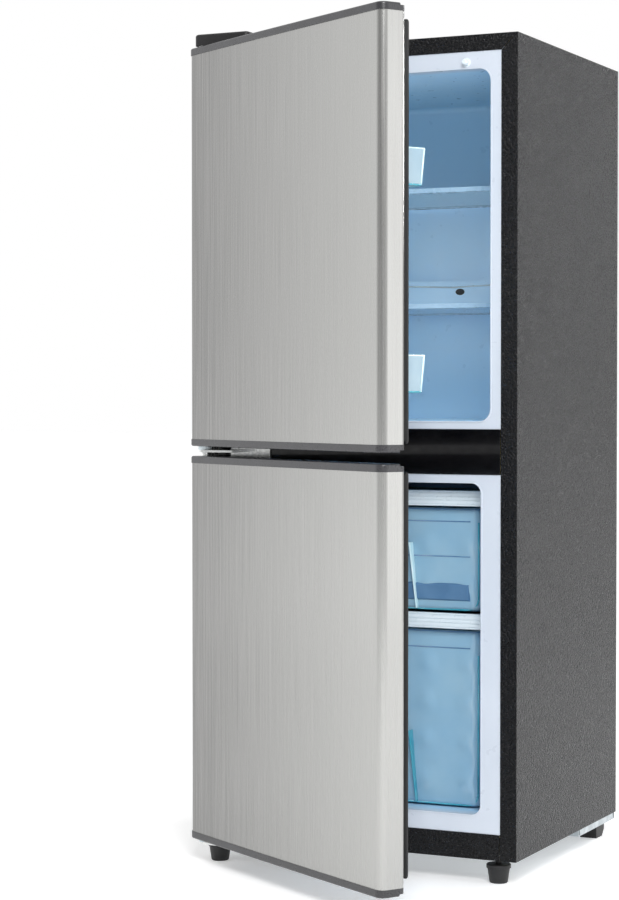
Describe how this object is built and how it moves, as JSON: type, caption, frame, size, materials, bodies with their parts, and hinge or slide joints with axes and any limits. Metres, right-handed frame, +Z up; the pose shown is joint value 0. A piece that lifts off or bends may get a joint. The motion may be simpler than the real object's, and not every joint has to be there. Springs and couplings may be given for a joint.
{
  "type": "two-door mini fridge",
  "caption": "Two-door compact fridge and freezer, shown with its doors ajar: swinging doors, lift-off door bins, glass shelves, freezer drawers and a rear compressor bay.",
  "frame": {"origin": "on the floor under the middle of the whole object at rest, with its doors ajar", "axes": "+Z up, front of the cabinet facing -Y, hinges on the -X side"},
  "size_m": [0.4515, 0.6878, 1.101],
  "materials": {
    "black_steel": "fine-textured black coated sheet steel",
    "gloss_rail": "gloss black painted steel",
    "grey_steel": "grey coated sheet steel",
    "galvanised_steel": "hot-dip galvanised sheet with spangle",
    "zinc_steel": "bright zinc plated steel",
    "stainless_steel": "vertically brushed stainless steel",
    "grey_cap_plastic": "dark grey moulded ABS, semi-gloss",
    "black_plastic": "black moulded polypropylene",
    "white_plastic": "white moulded polystyrene",
    "grey_plastic": "grey moulded plastic",
    "liner_plastic": "vacuum-formed high impact polystyrene, cool white",
    "clear_plastic": "frosted clear polystyrene",
    "blue_clear_plastic": "clear blue tinted polystyrene",
    "shelf_glass": "toughened glass",
    "lamp_glass": "frosted lamp glass",
    "insulation_foam": "rigid polyurethane foam",
    "black_rubber": "soft black rubber",
    "aluminium_plate": "satin aluminium",
    "black_enamel": "semi-gloss black enamel",
    "copper_tube": "bare copper tube, slightly tarnished"
  },
  "bodies": {
    "cabinet": {"cabinet_wrap": "black_steel", "back_panel": "grey_steel", "centre_rail": "gloss_rail", "bottom_rail": "black_steel", "base_pan": "galvanised_steel", "fridge_liner": "liner_plastic", "freezer_liner": "liner_plastic", "drain_tube": "grey_plastic", "cabinet_foam": "insulation_foam", "top_hinge": "zinc_steel", "top_hinge_cover": "black_plastic", "middle_hinge": "zinc_steel", "bottom_hinge": "zinc_steel", "hinge_screws": "zinc_steel", "rear_feet": "black_plastic", "evaporator_lower_trim": "white_plastic", "evaporator_lower_shelf": "aluminium_plate", "evaporator_upper_trim": "white_plastic", "evaporator_upper_shelf": "aluminium_plate", "thermostat_housing": "white_plastic", "thermostat": "grey_plastic", "lamp_cover": "clear_plastic", "interior_lamp": "lamp_glass", "light_switch_housing": "white_plastic", "compressor_base": "galvanised_steel", "compressor_grommets": "black_rubber", "compressor_bolts": "zinc_steel", "compressor": "black_enamel", "terminal_cover": "black_plastic", "cord_gland": "black_rubber", "drip_tray": "grey_plastic", "condenser": "black_enamel", "condenser_brackets": "black_plastic", "refrigerant_pipes": "copper_tube"},
    "upper_door": {"upper_door_skin": "stainless_steel", "upper_door_top_cap": "grey_cap_plastic", "upper_door_bottom_cap": "grey_cap_plastic", "upper_door_bushes": "white_plastic", "upper_door_foam": "insulation_foam", "upper_door_liner": "liner_plastic", "upper_door_gasket": "black_rubber"},
    "lower_door": {"lower_door_skin": "stainless_steel", "lower_door_top_cap": "grey_cap_plastic", "lower_door_bottom_cap": "grey_cap_plastic", "lower_door_bushes": "white_plastic", "lower_door_foam": "insulation_foam", "lower_door_liner": "liner_plastic", "lower_door_gasket": "black_rubber"},
    "bin_upper": {"door_bin_upper": "clear_plastic"},
    "bin_lower": {"door_bin_lower": "clear_plastic"},
    "shelf_upper": {"fridge_shelf_upper_glass": "shelf_glass", "fridge_shelf_upper_trim": "white_plastic"},
    "shelf_lower": {"fridge_shelf_lower_glass": "shelf_glass", "fridge_shelf_lower_trim": "white_plastic"},
    "drawer_upper": {"freezer_drawer_upper": "blue_clear_plastic"},
    "drawer_lower": {"freezer_drawer_lower": "blue_clear_plastic"},
    "knob": {"thermostat_knob": "white_plastic"},
    "switch_plunger": {"light_switch_plunger": "white_plastic"},
    "foot_left": {"front_foot_left": "black_plastic"},
    "foot_right": {"front_foot_right": "black_plastic"}
  },
  "joints": [
    {"name": "upper_door_swing", "type": "hinge", "parent": "cabinet", "child": "upper_door", "pos_m": [-0.205, -0.11047, 0.8185], "axis": [0, 0, -1], "range_deg": [-31.5, 88.5]},
    {"name": "lower_door_swing", "type": "hinge", "parent": "cabinet", "child": "lower_door", "pos_m": [-0.205, -0.11047, 0.287], "axis": [0, 0, -1], "range_deg": [-31.5, 88.5]},
    {"name": "bin_upper_lift", "type": "slide", "parent": "upper_door", "child": "bin_upper", "axis": [0, 0, 1], "range_m": [0, 0.03]},
    {"name": "bin_lower_lift", "type": "slide", "parent": "upper_door", "child": "bin_lower", "axis": [0, 0, 1], "range_m": [0, 0.03]},
    {"name": "shelf_upper_slide", "type": "slide", "parent": "cabinet", "child": "shelf_upper", "axis": [0, -1, 0], "range_m": [0, 0.04]},
    {"name": "shelf_lower_slide", "type": "slide", "parent": "cabinet", "child": "shelf_lower", "axis": [0, -1, 0], "range_m": [0, 0.04]},
    {"name": "drawer_upper_slide", "type": "slide", "parent": "cabinet", "child": "drawer_upper", "axis": [0, -1, 0], "range_m": [0, 0.05]},
    {"name": "drawer_lower_slide", "type": "slide", "parent": "cabinet", "child": "drawer_lower", "axis": [0, -1, 0], "range_m": [0, 0.05]},
    {"name": "thermostat_knob_turn", "type": "hinge", "parent": "cabinet", "child": "knob", "pos_m": [0.1585, 0.12793, 0.978], "axis": [-1, 0, 0], "range_deg": [-150, 150]},
    {"name": "light_switch_press", "type": "slide", "parent": "cabinet", "child": "switch_plunger", "axis": [0, 1, 0], "range_m": [0, 0.004], "stiffness_N_per_m": 150},
    {"name": "foot_left_turn", "type": "hinge", "parent": "cabinet", "child": "foot_left", "pos_m": [-0.195, -0.08747, 0.031], "axis": [0, 0, 1], "continuous": true},
    {"name": "foot_right_turn", "type": "hinge", "parent": "cabinet", "child": "foot_right", "pos_m": [0.194, -0.05947, 0.031], "axis": [0, 0, 1], "continuous": true}
  ]
}
